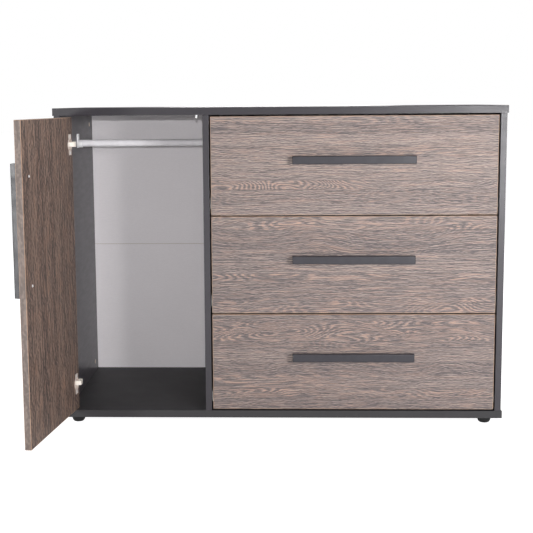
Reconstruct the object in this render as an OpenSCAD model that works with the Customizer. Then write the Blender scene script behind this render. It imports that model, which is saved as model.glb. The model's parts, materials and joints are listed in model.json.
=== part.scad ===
// Chest with a door compartment on the left and three drawers on the right.
// The carcass is made of coated boards joined with cam fittings and dowels.
// The door is shown open, about a quarter turn, and the drawers are shut.
// The origin is on the floor, under the middle of the front left foot.
// X runs to the right along the front, Y to the back and Z up.

/* [Carcass] */
// Width over the two side panels
body_w = 1300; // [1150:10:1500]
// Height of the side panels and the divider
side_h = 873; // [810:1:960]
// Thickness of the side panels
side_t = 18; // [16:1:22]
// Thickness of the divider
divider_t = 18; // [16:1:22]
// Thickness of the top panel
top_t = 22; // [18:1:28]
// Thickness of the bottom panel
bottom_t = 22; // [18:1:28]
// How far the top and bottom panels stand out past each side panel
end_overhang = 4; // [0:1:12]
// Clear width of the door compartment
door_bay_w = 412; // [340:2:480]

/* [Back] */
// Thickness of the back panels
back_t = 3; // [3:0.5:5]
// Rear overlap of the top and bottom panels past the back panels
back_recess = 1; // [1:0.5:4]
// Height of the seam between the two back panels above the bottom panel
seam_h = 432; // [300:1:560]
// Gap between the two back panels
seam_gap = 1.5; // [0.5:0.1:3]
// Height of the strip that joins the back panels
strip_h = 40; // [24:1:60]
// Thickness of the strip
strip_t = 0.6; // [0.4:0.1:0.9]
// Nails in each half of each upright
nails_per_run = 5; // [3:1:8]

/* [Feet] */
// Height of the feet
foot_h = 22; // [14:1:40]
// Diameter of the feet
foot_d = 42; // [32:1:56]
// Distance of the feet's centres from the carcass edges
foot_inset = 41; // [32:1:70]

/* [Door] */
// Thickness of the door
door_t = 18; // [16:0.5:18.5]
// Gap at each upright edge of the door
door_gap_side = 2.5; // [2.5:0.1:4]
// Gap above the door
door_gap_top = 4.5; // [2:0.5:6]
// Gap below the door
door_gap_bottom = 3; // [2:0.5:6]
// Angle to which the door stands open
door_open_angle = 97; // [60:1:105]
// Distance of each hinge's middle from the end of the door
hinge_from_end = 78; // [60:1:160]

/* [Drawers] */
// Thickness of the drawer fronts
front_t = 18; // [16:1:22]
// Gap at each upright edge of the drawer fronts
front_gap_side = 4.5; // [2:0.1:6]
// Gap above the top front
front_gap_top = 5; // [2:0.5:8]
// Gap between two fronts
front_gap = 4; // [2:0.5:6]
// Gap below the bottom front
front_gap_bottom = 5; // [2:0.5:8]
// Depth of the drawer boxes behind their fronts
box_d = 450; // [380:5:500]
// Space between the drawer boxes and the back panels
box_rear_gap = 48; // [20:1:110]
// Height of the drawer sides
box_h = 150; // [130:1:190]
// How much lower the drawer back is than the sides
back_drop = 12; // [0:1:30]
// Thickness of the drawer sides and the drawer back
box_t = 12; // [12:1:16]
// Thickness of the drawer bottom
floor_t = 3; // [3:0.5:5]
// Height of the groove for the bottom above the lower edge of the sides
groove_rise = 10; // [8:1:16]
// Depth of the groove for the bottom
groove_depth = 5; // [3:0.5:6]

/* [Handles] */
// Length of the handle bar
handle_len = 354; // [320:2:380]
// Height of the bar's face
handle_face = 23; // [18:1:30]
// Depth of the bar
handle_depth = 15; // [12:1:20]
// Wall of the bar, which is open at its back
handle_wall = 3; // [2:0.5:4]
// Space between the bar and the board
handle_reach = 13; // [10:1:25]
// Distance between the two handle screws
handle_pitch = 288; // [224:32:288]
// Drop of the drawer handles' middle below the top of their fronts
handle_drop = 125; // [95:1:135]
// Drop of the door handle's middle below the top of the door
door_handle_drop = 290; // [240:1:420]
// Distance of the door handle's middle from the free edge of the door
door_handle_inset = 47; // [30:1:80]

/* [Runners] */
// Space that a runner takes between the bay wall and the drawer box
runner_w = 12.7; // [12.7:0.1:14]
// Height of the fixed runner profile
runner_h = 30; // [28:1:40]
// Height of the runner above the lower edge of its front
runner_rise = 18; // [14:1:40]
// Sheet thickness of the runners
runner_sheet = 1.2; // [1:0.1:1.4]
// Radius of the rollers on the carcass
front_roller_r = 9; // [8:0.1:9.5]
// Radius of the rollers on the drawers
rear_roller_r = 8.5; // [7.5:0.1:8.8]

/* [Hanging rail] */
// Diameter of the rail tube
rail_d = 22; // [18:1:26]
// Wall of the rail tube
rail_wall = 1.2; // [0.8:0.1:2]
// Drop of the rail's middle below the top panel
rail_drop = 88; // [70:1:160]
// Distance of the rail from the front
rail_from_front = 258; // [200:1:320]

/* [Hidden] */
$fn = 48;
// Small overlap that makes a cut run clear of its face
cut = 0.5;
// Clearance round fasteners and around the boards' grooves
fit = 0.1;
// Radial clearance of the rollers and hinge pins
run_fit = 0.06;
// Clearance of a roller over the surface that it runs on
roll_gap = 0.2;

// Depth of the side panels and the divider, so that the drawer boxes fit in front of the back
side_d = front_t + box_d + box_rear_gap;
top_d = side_d + back_t + back_recess;
divider_x = side_t + door_bay_w;
bay_x = divider_x + divider_t;
bay_w = body_w - side_t - bay_x;

// Uprights: left face, thickness and the side that holds the cams, 1 for right
uprights = [
    [0, side_t, 1],
    [divider_x, divider_t, 1],
    [body_w - side_t, side_t, -1]
];

// Cam fittings: cam radius, cam depth, distance from the joint, bolt radius,
// depth of the bolt in the second board
carcass_cam = [7.5, 12.5, 34, 3, 11];
drawer_cam = [5, 9, 24, 2.5, 8];
cam_grip = 5;
cam_slot_w = 1.2;
cam_slot_deep = 2;
cam_front_inset = 50;
cam_rear_inset = 53;
cam_ys = [cam_front_inset, side_d - cam_rear_inset];
dowel_r = 4;
dowel_pitch = 32;
dowel_deep = 20;
dowel_shallow = 10;
dowel_ys = [cam_front_inset + dowel_pitch, side_d - cam_rear_inset - dowel_pitch];

nail_r = 0.7;
nail_len = 18;
nail_head_r = 1.8;
nail_head_h = 0.5;
nail_margin = 34;

foot_round = 4;
foot_plug_r = 5;
foot_plug_h = 14;

screw_r = 1.75;
screw_head_r = 3.4;
screw_head_h = 0.8;
screw_len = 14;

// Hinge: places are measured from the compartment wall and the front plane
pin_x = 17.5;
pin_depth = 10.5;
pin_y = door_t - pin_depth;
pin_r = 1;
knuckle_r = 2;
cup_r = 17.5;
cup_wall = 0.8;
cup_depth = 13.5;
cup_centre_x = 24.5;
cup_flange_r = 19;
cup_flange_t = 1.2;
cup_flange_h = 60;
cup_flange_w = 20;
cup_screw_spread = 24;
ear_gap = 0.4;
ear_t = 2.2;
ear_w = 4;
ear_root = 0.2;
ear_over = 2.4;
arm_low_h = 12;
arm_high_h = 15;
arm_reach = 22.1;
arm_neck = 3.4;
arm_rise = 19.2;
arm_link = 3.2;
arm_end_y = 78;
arm_front = 1.3;
arm_inside = 4.3;
arm_tip = 1.6;
arm_overlap = 5;
arm_back_w = 8;
plate_t = 6;
plate_h = 18;
plate_y = 30;
plate_len = 46;
wing_t = 2.5;
wing_h = 52;
wing_w = 14;
wing_y = 37;
wing_screw_spread = 16;

door_x = side_t + door_gap_side;
door_w = door_bay_w - 2 * door_gap_side;
door_z = bottom_t + door_gap_bottom;
door_h = side_h - door_gap_bottom - door_gap_top;
hinge_zs = [door_z + hinge_from_end, door_z + door_h - hinge_from_end];

stop_r = 3;
stop_drop = 9;
stop_plug = 10;
stop_from_divider = 19;
stop_gap = 0.3;

front_x = bay_x + front_gap_side;
front_w = bay_w - 2 * front_gap_side;
front_h = (side_h - front_gap_top - front_gap_bottom - 2 * front_gap) / 3;
drawers = [1, 2, 3];

box_w = bay_w - 2 * runner_w;
side_lift = 4;
groove_h = floor_t + 2 * fit;
box_cam_low = 40;
box_cam_top = 36;
box_cam_zs = [box_cam_low, box_h - box_cam_top];

handle_round = 2.5;
post_w = 16;
post_h = 14;
handle_screw_r = 2;
handle_screw_head_r = 3.8;
handle_screw_head_h = 2.2;
handle_screw_in = 10;

runner_len = box_d;
runner_start = 3;
track_start = 2;
runner_front_y = front_t + runner_start;
runner_flange = 10.5;
axle_r = 2.5;
axle_head_r = 3.6;
axle_head_t = 0.8;
roller_w = 7;
roller_seat = 0.5;
front_roller_in = 14;
rear_roller_in = 13;
front_roller_y = runner_front_y + front_roller_in;
rear_roller_y = front_t + box_d - rear_roller_in;
front_roller_z = runner_sheet + roll_gap + front_roller_r;
rear_roller_z = runner_sheet + roll_gap + rear_roller_r;
track_z = front_roller_z + front_roller_r + roll_gap;
track_x = 2.4;
runner_screw_lift = 4.5;
runner_screw_z = track_z + runner_screw_lift;
runner_screw_first = 40;
runner_screw_second = 170;
runner_screw_last = 60;
runner_screw_ys = [
    runner_front_y + runner_screw_first,
    runner_front_y + runner_screw_second,
    runner_front_y + runner_len - runner_screw_last
];

rail_z = bottom_t + side_h - rail_drop;
rail_end_gap = 0.4;
socket_t = 3;
socket_w = 25;
socket_h = 43;
socket_below = 14;
cradle_wall = 2.5;
cradle_len = 12;
socket_screw_z = 23;

// Lower edge of a drawer front, counted from the top drawer
function front_z(n) = bottom_t + front_gap_bottom + (3 - n) * (front_h + front_gap);
function runner_z(n) = front_z(n) + runner_rise;
function box_z(n) = runner_z(n) + side_lift;

// Places a shape by its distance from the carcass's left, front and lower edges
module at(x = 0, y = 0, z = 0) {
    translate([x - foot_inset, y - foot_inset, z + foot_h]) children();
}

// Runs a flat outline in X and Z along Y
module along_y(len) {
    rotate([90, 0, 0])
        translate([0, 0, -len])
            linear_extrude(len) children();
}

// Round bar or hole along Y, towards the back
module rod_y(r, len) {
    rotate([-90, 0, 0]) cylinder(r = r, h = len);
}

// Round bar or hole along X, to the right
module rod_x(r, len) {
    rotate([0, 90, 0]) cylinder(r = r, h = len);
}

// Cam fitting frames: Z = 0 is the joint, +Z goes into the board with the cam
// and +X points to the face that the cam is let into
module cam_body(spec, t) {
    difference() {
        translate([t / 2 - spec[1] + fit, 0, spec[2]]) rod_x(spec[0] - fit, spec[1] - fit);
        cylinder(r = spec[3] + fit, h = spec[2] - spec[0] + cam_grip + fit);
        translate([t / 2 - cam_slot_deep, -spec[0] / 2, spec[2] - cam_slot_w / 2])
            cube([cam_slot_deep + cut, spec[0], cam_slot_w]);
    }
}

module cam_bolt(spec) {
    translate([0, 0, -spec[4]]) cylinder(r = spec[3], h = spec[4] + spec[2] - spec[0] + cam_grip);
}

module cam_bores(spec, t) {
    translate([t / 2 - spec[1], 0, spec[2]]) rod_x(spec[0], spec[1] + cut);
    translate([0, 0, -cut]) cylinder(r = spec[3] + fit, h = spec[2] + cut);
}

module bolt_bore(spec) {
    translate([0, 0, -spec[4] - fit]) cylinder(r = spec[3] + fit, h = spec[4] + fit + cut);
}

module dowel() {
    translate([0, 0, -dowel_shallow]) cylinder(r = dowel_r, h = dowel_shallow + dowel_deep);
}

module dowel_bore() {
    translate([0, 0, -dowel_shallow - fit])
        cylinder(r = dowel_r + fit, h = dowel_shallow + dowel_deep + 2 * fit);
}

// Stands a fitting at both ends of an upright, at each of the given depths
module upright_ends(u, ys) {
    for (y = ys)
        for (end = [0, 1])
            at(u[0] + u[1] / 2, y, bottom_t + end * side_h)
                rotate([end * 180, 0, 0])
                    rotate([0, 0, u[2] > 0 ? 0 : 180])
                        children();
}

// Heights of the nails above the bottom panel, the same count below and above the seam
nail_low = [for (i = [0 : nails_per_run - 1])
    nail_margin + i * (seam_h - 2 * nail_margin) / (nails_per_run - 1)];
nail_high = [for (i = [0 : nails_per_run - 1])
    seam_h + nail_margin + i * (side_h - seam_h - 2 * nail_margin) / (nails_per_run - 1)];

module nail_places(zs) {
    for (u = uprights)
        for (z = zs)
            at(u[0] + u[1] / 2, side_d, bottom_t + z) children();
}

module nail_bore() {
    translate([0, back_t - nail_len - fit, 0]) rod_y(nail_r + fit, nail_len + fit + cut);
}

// Screws of the carcass stand on a face that looks along +X from the wall
module screw() {
    rod_x(screw_head_r, screw_head_h);
    translate([-screw_len, 0, 0]) rod_x(screw_r, screw_len);
}

module screw_bore() {
    translate([-screw_len - fit, 0, 0]) rod_x(screw_r + fit, screw_len + fit + cut);
}

module wing_screw_places() {
    for (z = hinge_zs)
        for (side = [-1, 1])
            at(side_t + wing_t, wing_y, z + side * wing_screw_spread) children();
}

module socket_screw_places() {
    for (dir = [1, -1])
        at(dir > 0 ? side_t + socket_t : divider_x - socket_t, rail_from_front, rail_z + socket_screw_z)
            rotate([0, 0, dir > 0 ? 0 : 180])
                children();
}

// Places a shape against both walls of the drawer bay, drawn for the left wall
module bay_walls() {
    at(bay_x) children();
    at(bay_x + bay_w) mirror([1, 0, 0]) children();
}

module runner_screw_places() {
    bay_walls()
        for (n = drawers)
            for (y = runner_screw_ys)
                translate([runner_sheet, y, runner_z(n) + runner_screw_z]) children();
}

module upright(u) {
    difference() {
        at(u[0], 0, bottom_t) cube([u[1], side_d, side_h]);
        upright_ends(u, cam_ys) cam_bores(carcass_cam, u[1]);
        upright_ends(u, dowel_ys) dowel_bore();
        nail_places(nail_low) nail_bore();
        nail_places(nail_high) nail_bore();
        wing_screw_places() screw_bore();
        socket_screw_places() screw_bore();
        runner_screw_places() screw_bore();
    }
}

module foot_places() {
    for (x = [foot_inset, body_w - foot_inset])
        for (y = [foot_inset, side_d - foot_inset])
            at(x, y, 0) children();
}

module top_panel() {
    color("#555558")
        difference() {
            at(-end_overhang, 0, bottom_t + side_h) cube([body_w + 2 * end_overhang, top_d, top_t]);
            for (u = uprights) {
                upright_ends(u, cam_ys) bolt_bore(carcass_cam);
                upright_ends(u, dowel_ys) dowel_bore();
            }
            stop_place() cylinder(r = stop_r + fit, h = stop_plug + fit);
        }
}

module bottom_panel() {
    color("#555558")
        difference() {
            at(-end_overhang, 0, 0) cube([body_w + 2 * end_overhang, top_d, bottom_t]);
            for (u = uprights) {
                upright_ends(u, cam_ys) bolt_bore(carcass_cam);
                upright_ends(u, dowel_ys) dowel_bore();
            }
            foot_places() translate([0, 0, -cut]) cylinder(r = foot_plug_r + fit, h = foot_plug_h + cut + fit);
        }
}

module left_side_panel() {
    color("#5a5a5e") upright(uprights[0]);
}

module divider_panel() {
    color("#5a5a5e") upright(uprights[1]);
}

module right_side_panel() {
    color("#5a5a5e") upright(uprights[2]);
}

module back_panel_lower() {
    color("#b4b0b4")
        difference() {
            at(0, side_d, bottom_t) cube([body_w, back_t, seam_h - seam_gap / 2]);
            nail_places(nail_low) nail_bore();
        }
}

module back_panel_upper() {
    color("#b4b0b4")
        difference() {
            at(0, side_d, bottom_t + seam_h + seam_gap / 2)
                cube([body_w, back_t, side_h - seam_h - seam_gap / 2]);
            nail_places(nail_high) nail_bore();
        }
}

module back_joining_strip() {
    color("#b0a99f")
        at(0, side_d + back_t, bottom_t + seam_h - strip_h / 2) cube([body_w, strip_t, strip_h]);
}

module nail() {
    translate([0, back_t - nail_len, 0]) rod_y(nail_r, nail_len);
    translate([0, back_t, 0]) rod_y(nail_head_r, nail_head_h);
}

module back_nails() {
    color("#a8a8a8") {
        nail_places(nail_low) nail();
        nail_places(nail_high) nail();
    }
}

module cam_locks() {
    color("#c0c0c0")
        for (u = uprights) upright_ends(u, cam_ys) cam_body(carcass_cam, u[1]);
}

module cam_bolts() {
    color("#b8b8b8")
        for (u = uprights) upright_ends(u, cam_ys) cam_bolt(carcass_cam);
}

module dowels() {
    color("#d2b48c")
        for (u = uprights) upright_ends(u, dowel_ys) dowel();
}

// Round glide with a rounded lower edge and a plug that is pressed into the board
module foot() {
    translate([0, 0, -foot_h])
        rotate_extrude()
            difference() {
                square([foot_d / 2, foot_h]);
                translate([foot_d / 2 - foot_round, 0])
                    difference() {
                        translate([0, -cut]) square([foot_round + cut, foot_round + cut]);
                        translate([0, foot_round]) circle(r = foot_round);
                    }
            }
    cylinder(r = foot_plug_r, h = foot_plug_h);
}

module feet() {
    color("#1c1c1c") foot_places() foot();
}

module hanging_rail() {
    color("#d0d0d4")
        difference() {
            at(side_t + socket_t + rail_end_gap, rail_from_front, rail_z)
                rod_x(rail_d / 2, door_bay_w - 2 * (socket_t + rail_end_gap));
            at(side_t, rail_from_front, rail_z) rod_x(rail_d / 2 - rail_wall, door_bay_w);
        }
}

// Plate with an open cradle that the rail drops into, drawn for the left wall
module rail_socket() {
    cradle_r = rail_d / 2 + fit;
    outer_r = cradle_r + cradle_wall;
    difference() {
        union() {
            translate([0, -socket_w / 2, -socket_below]) cube([socket_t, socket_w, socket_h]);
            rod_x(outer_r, socket_t + cradle_len);
        }
        translate([socket_t, 0, 0]) rod_x(cradle_r, cradle_len + cut);
        translate([socket_t, -cradle_r, 0]) cube([cradle_len + cut, 2 * cradle_r, outer_r + cut]);
        translate([socket_t, -outer_r - cut, cradle_wall]) cube([cradle_len + cut, 2 * outer_r + 2 * cut, outer_r]);
        translate([socket_t, 0, socket_screw_z]) screw_bore();
    }
}

module rail_sockets() {
    color("#f2f2f2") {
        at(side_t, rail_from_front, rail_z) rail_socket();
        at(divider_x, rail_from_front, rail_z) mirror([1, 0, 0]) rail_socket();
    }
}

module stop_place() {
    at(divider_x - stop_from_divider, door_t + stop_gap + stop_r, bottom_t + side_h) children();
}

module door_stop() {
    color("#f5f5f5") stop_place() translate([0, 0, -stop_drop]) cylinder(r = stop_r, h = stop_drop + stop_plug);
}

module hinge_plates() {
    color("#c4c6c8")
        difference() {
            for (z = hinge_zs) {
                at(side_t, plate_y, z - plate_h / 2) cube([plate_t, plate_len, plate_h]);
                at(side_t, wing_y - wing_w / 2, z - wing_h / 2) cube([wing_t, wing_w, wing_h]);
            }
            wing_screw_places() screw_bore();
        }
}

// Arm outline seen from above. It leaves the cup past the pin, turns back round
// the edge of the open door and ends on the mounting plate.
module arm_in_cup() {
    polygon([
        [pin_x, pin_y - arm_front],
        [pin_x + arm_reach, pin_y - arm_front],
        [pin_x + arm_reach, pin_y + arm_rise + arm_link],
        [pin_x + arm_reach - arm_neck, pin_y + arm_rise + arm_link],
        [pin_x + arm_reach - arm_neck, pin_y + arm_inside],
        [pin_x, pin_y + arm_tip]
    ]);
}

module arm_behind_cup() {
    polygon([
        [plate_t, pin_y + arm_rise],
        [pin_x + arm_reach - arm_neck, pin_y + arm_rise],
        [pin_x + arm_reach - arm_neck, pin_y + arm_rise - arm_overlap],
        [pin_x + arm_reach, pin_y + arm_rise - arm_overlap],
        [pin_x + arm_reach, pin_y + arm_rise + arm_link],
        [plate_t + arm_back_w, pin_y + arm_rise + arm_link],
        [plate_t + arm_back_w, arm_end_y],
        [plate_t, arm_end_y]
    ]);
}

module hinge_arms() {
    color("#ccced0")
        for (z = hinge_zs)
            at(side_t, 0, z)
                difference() {
                    union() {
                        translate([0, 0, -arm_low_h / 2]) linear_extrude(arm_low_h) arm_in_cup();
                        translate([0, 0, -arm_high_h / 2]) linear_extrude(arm_high_h) arm_behind_cup();
                        translate([pin_x, pin_y, -arm_low_h / 2]) cylinder(r = knuckle_r, h = arm_low_h);
                    }
                    translate([pin_x, pin_y, -arm_low_h]) cylinder(r = pin_r + run_fit, h = 2 * arm_low_h);
                }
}

module cabinet_screws() {
    color("#b0b2b4") {
        wing_screw_places() screw();
        socket_screw_places() screw();
        runner_screw_places() screw();
    }
}

// Turns a shape drawn for the shut door to where the open door stands
module door_open() {
    at(side_t + pin_x, pin_y)
        rotate([0, 0, -door_open_angle])
            translate([-side_t - pin_x, -pin_y, 0])
                children();
}

module cup_places() {
    for (z = hinge_zs) translate([side_t + cup_centre_x, door_t, z]) children();
}

module cup_screw_places() {
    for (side = [-1, 1])
        cup_places() translate([0, cup_flange_t, side * cup_screw_spread]) rotate([0, 0, 90]) children();
}

// Solid outline of the bar, with two rounded corners towards the front
module bar_outline(w) {
    out = handle_reach + handle_depth;
    translate([-w / 2, -out + handle_round]) square([w, handle_depth - handle_round]);
    translate([-w / 2 + handle_round, -out]) square([w - 2 * handle_round, handle_depth]);
    for (side = [-1, 1])
        translate([side * (w / 2 - handle_round), -out + handle_round]) circle(r = handle_round);
}

// Handle drawn on a board whose outer face is at Y = 0, with its bar along X.
// The bar is hollow and open towards the board, and stands on two posts.
module handle() {
    out = handle_reach + handle_depth;
    in_l = handle_len - 2 * handle_wall;
    in_h = handle_face - 2 * handle_wall;
    difference() {
        union() {
            difference() {
                intersection() {
                    rotate([0, 90, 0])
                        translate([0, 0, -handle_len / 2])
                            linear_extrude(handle_len)
                                bar_outline(handle_face);
                    translate([0, 0, -handle_face / 2])
                        linear_extrude(handle_face)
                            bar_outline(handle_len);
                }
                translate([-in_l / 2, -out + handle_wall, -in_h / 2])
                    cube([in_l, handle_depth, in_h]);
            }
            for (side = [-1, 1])
                translate([side * handle_pitch / 2 - post_w / 2, -out + handle_wall - cut, -post_h / 2])
                    cube([post_w, out - handle_wall + cut, post_h]);
        }
        for (side = [-1, 1])
            translate([side * handle_pitch / 2, -handle_screw_in - fit, 0])
                rod_y(handle_screw_r + fit, handle_screw_in + fit + cut);
    }
}

// Screws from inside the board into the posts
module handle_screws(t) {
    for (side = [-1, 1])
        translate([side * handle_pitch / 2, 0, 0]) {
            translate([0, -handle_screw_in, 0]) rod_y(handle_screw_r, handle_screw_in + t);
            translate([0, t, 0]) rod_y(handle_screw_head_r, handle_screw_head_h);
        }
}

module handle_screw_bores(t) {
    for (side = [-1, 1])
        translate([side * handle_pitch / 2, -cut, 0]) rod_y(handle_screw_r + fit, t + 2 * cut);
}

// Stands the door handle upright on the outer face of the shut door
module door_handle_place() {
    translate([door_x + door_w - door_handle_inset, 0, door_z + door_h - door_handle_drop])
        rotate([0, 90, 0]) children();
}

module door_panel() {
    color("#8d7e75")
        door_open()
            difference() {
                translate([door_x, 0, door_z]) cube([door_w, door_t, door_h]);
                cup_places() translate([0, -cup_depth, 0]) rod_y(cup_r + fit, cup_depth + cut);
                cup_screw_places() screw_bore();
                door_handle_place() handle_screw_bores(door_t);
            }
}

module door_handle() {
    color("#4c4b4f") door_open() door_handle_place() handle();
}

module door_handle_screws() {
    color("#c8cacc") door_open() door_handle_place() handle_screws(door_t);
}

// Cup with its flange. Two ears inside hold the hinge pin.
module hinge_cup() {
    ear_z = arm_low_h / 2 + ear_gap;
    floor_y = -cup_depth + cup_wall;
    pin_dx = pin_x - cup_centre_x;
    pin_dy = pin_y - door_t;
    difference() {
        union() {
            translate([0, -cup_depth, 0]) rod_y(cup_r, cup_depth + cup_flange_t);
            rod_y(cup_flange_r, cup_flange_t);
            translate([-cup_flange_w / 2, 0, -cup_flange_h / 2])
                cube([cup_flange_w, cup_flange_t, cup_flange_h]);
        }
        translate([0, floor_y, 0]) rod_y(cup_r - cup_wall, cup_depth + cup_flange_t + cut);
    }
    for (side = [-1, 1])
        translate([pin_dx - ear_w / 2, floor_y - ear_root, side * (ear_z + ear_t / 2) - ear_t / 2])
            cube([ear_w, pin_dy - floor_y + ear_over, ear_t]);
    translate([pin_dx, pin_dy, -ear_z - ear_t / 2]) cylinder(r = pin_r, h = 2 * ear_z + ear_t);
}

module hinge_cups() {
    color("#ccced0")
        door_open()
            difference() {
                cup_places() hinge_cup();
                cup_screw_places() screw_bore();
            }
}

module hinge_cup_screws() {
    color("#b8bcc0") door_open() cup_screw_places() screw();
}

// Cam fittings of a drawer box: the front corners join the sides to the front
module front_corner_places(n) {
    bay_walls()
        for (z = box_cam_zs)
            translate([runner_w + box_t / 2, front_t, box_z(n) + z]) rotate([-90, 0, 0]) children();
}

// The rear corners join the back to the sides, with the cams in the back
module rear_corner_places(n) {
    bay_walls()
        for (z = box_cam_zs)
            translate([runner_w + box_t, front_t + box_d - box_t / 2, box_z(n) + z])
                rotate(120, [1, 1, 1]) children();
}

module drawer_handle_place(n) {
    at(front_x + front_w / 2, 0, front_z(n) + front_h - handle_drop) children();
}

module drawer_front(n) {
    color("#a1928b")
        difference() {
            at(front_x, 0, front_z(n)) cube([front_w, front_t, front_h]);
            at(bay_x + runner_w + box_t - groove_depth, front_t - groove_depth, box_z(n) + groove_rise)
                cube([box_w - 2 * box_t + 2 * groove_depth, groove_depth + cut, groove_h]);
            front_corner_places(n) bolt_bore(drawer_cam);
            drawer_handle_place(n) handle_screw_bores(front_t);
        }
}

// Left side of the box in the frame of the left bay wall
module box_side(n) {
    difference() {
        translate([runner_w, front_t, box_z(n)]) cube([box_t, box_d, box_h]);
        translate([runner_w + box_t - groove_depth, front_t - cut, box_z(n) + groove_rise])
            cube([groove_depth + cut, box_d + 2 * cut, groove_h]);
    }
}

module drawer_left_side(n) {
    color("#8c8b90")
        difference() {
            at(bay_x) box_side(n);
            front_corner_places(n) cam_bores(drawer_cam, box_t);
            rear_corner_places(n) bolt_bore(drawer_cam);
        }
}

module drawer_right_side(n) {
    color("#8c8b90")
        difference() {
            at(bay_x + bay_w) mirror([1, 0, 0]) box_side(n);
            front_corner_places(n) cam_bores(drawer_cam, box_t);
            rear_corner_places(n) bolt_bore(drawer_cam);
        }
}

module drawer_back(n) {
    color("#8c8b90")
        difference() {
            at(bay_x + runner_w + box_t, front_t + box_d - box_t, box_z(n) + groove_rise + groove_h)
                cube([box_w - 2 * box_t, box_t, box_h - back_drop - groove_rise - groove_h]);
            rear_corner_places(n) cam_bores(drawer_cam, box_t);
        }
}

module drawer_bottom(n) {
    inset = box_t - groove_depth + fit;
    color("#b4b0b4")
        at(bay_x + runner_w + inset, front_t - groove_depth + fit, box_z(n) + groove_rise + fit)
            cube([box_w - 2 * inset, box_d + groove_depth - 2 * fit, floor_t]);
}

module drawer_handle(n) {
    color("#4c4b4f") drawer_handle_place(n) handle();
}

module drawer_handle_screws(n) {
    color("#c8cacc") drawer_handle_place(n) handle_screws(front_t);
}

module drawer_cam_fittings(n) {
    color("#c0c0c0") {
        front_corner_places(n) {
            cam_body(drawer_cam, box_t);
            cam_bolt(drawer_cam);
        }
        rear_corner_places(n) {
            cam_body(drawer_cam, box_t);
            cam_bolt(drawer_cam);
        }
    }
}

// Profile on the drawer: a track over the front roller, a web and a shelf
// that carries the drawer side
module drawer_runners(n) {
    web_x = runner_w - runner_sheet;
    color("#e4e4e2")
        bay_walls()
            translate([0, 0, runner_z(n)]) {
                translate([0, front_t + track_start, 0])
                    along_y(box_d - track_start)
                        polygon([
                            [track_x, track_z],
                            [web_x, track_z],
                            [web_x, side_lift - runner_sheet],
                            [runner_w + box_t, side_lift - runner_sheet],
                            [runner_w + box_t, side_lift],
                            [runner_w, side_lift],
                            [runner_w, track_z + runner_sheet],
                            [track_x, track_z + runner_sheet]
                        ]);
                translate([web_x - roller_seat - roller_w - axle_head_t, rear_roller_y, rear_roller_z]) {
                    rod_x(axle_r, roller_seat + roller_w + axle_head_t + cut);
                    rod_x(axle_head_r, axle_head_t - run_fit);
                }
            }
}

// Channel on the bay wall, with the axle of the front roller
module cabinet_runners(n) {
    color("#e4e4e2")
        bay_walls()
            difference() {
                translate([0, 0, runner_z(n)]) {
                    translate([0, runner_front_y, 0])
                        along_y(runner_len)
                            polygon([
                                [0, 0],
                                [runner_flange, 0],
                                [runner_flange, runner_sheet],
                                [runner_sheet, runner_sheet],
                                [runner_sheet, runner_h - runner_sheet],
                                [runner_flange, runner_h - runner_sheet],
                                [runner_flange, runner_h],
                                [0, runner_h]
                            ]);
                    translate([runner_sheet - cut, front_roller_y, front_roller_z]) {
                        rod_x(axle_r, cut + roller_seat + roller_w + axle_head_t);
                        translate([cut + roller_seat + roller_w + run_fit, 0, 0])
                            rod_x(axle_head_r, axle_head_t - run_fit);
                    }
                }
                for (y = runner_screw_ys)
                    translate([runner_sheet, y, runner_z(n) + runner_screw_z]) screw_bore();
            }
}

module roller(r) {
    difference() {
        rod_x(r, roller_w);
        translate([-cut, 0, 0]) rod_x(axle_r + run_fit, roller_w + 2 * cut);
    }
}

module front_rollers(n) {
    color("#f0f0ee")
        bay_walls()
            translate([runner_sheet + roller_seat, front_roller_y, runner_z(n) + front_roller_z])
                roller(front_roller_r);
}

module rear_rollers(n) {
    color("#f0f0ee")
        bay_walls()
            translate([runner_w - runner_sheet - roller_seat - roller_w, rear_roller_y,
                    runner_z(n) + rear_roller_z])
                roller(rear_roller_r);
}

top_panel();
bottom_panel();
left_side_panel();
divider_panel();
right_side_panel();
back_panel_upper();
back_panel_lower();
back_joining_strip();
back_nails();
cam_locks();
cam_bolts();
dowels();
feet();
hanging_rail();
rail_sockets();
door_stop();
hinge_plates();
hinge_arms();
cabinet_screws();
door_panel();
door_handle();
door_handle_screws();
hinge_cups();
hinge_cup_screws();
for (n = drawers) {
    drawer_front(n);
    drawer_left_side(n);
    drawer_right_side(n);
    drawer_back(n);
    drawer_bottom(n);
    drawer_handle(n);
    drawer_handle_screws(n);
    drawer_cam_fittings(n);
    drawer_runners(n);
    rear_rollers(n);
    cabinet_runners(n);
    front_rollers(n);
}
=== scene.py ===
import json
import math

import bmesh
import bpy
from mathutils import Matrix, Vector


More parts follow.
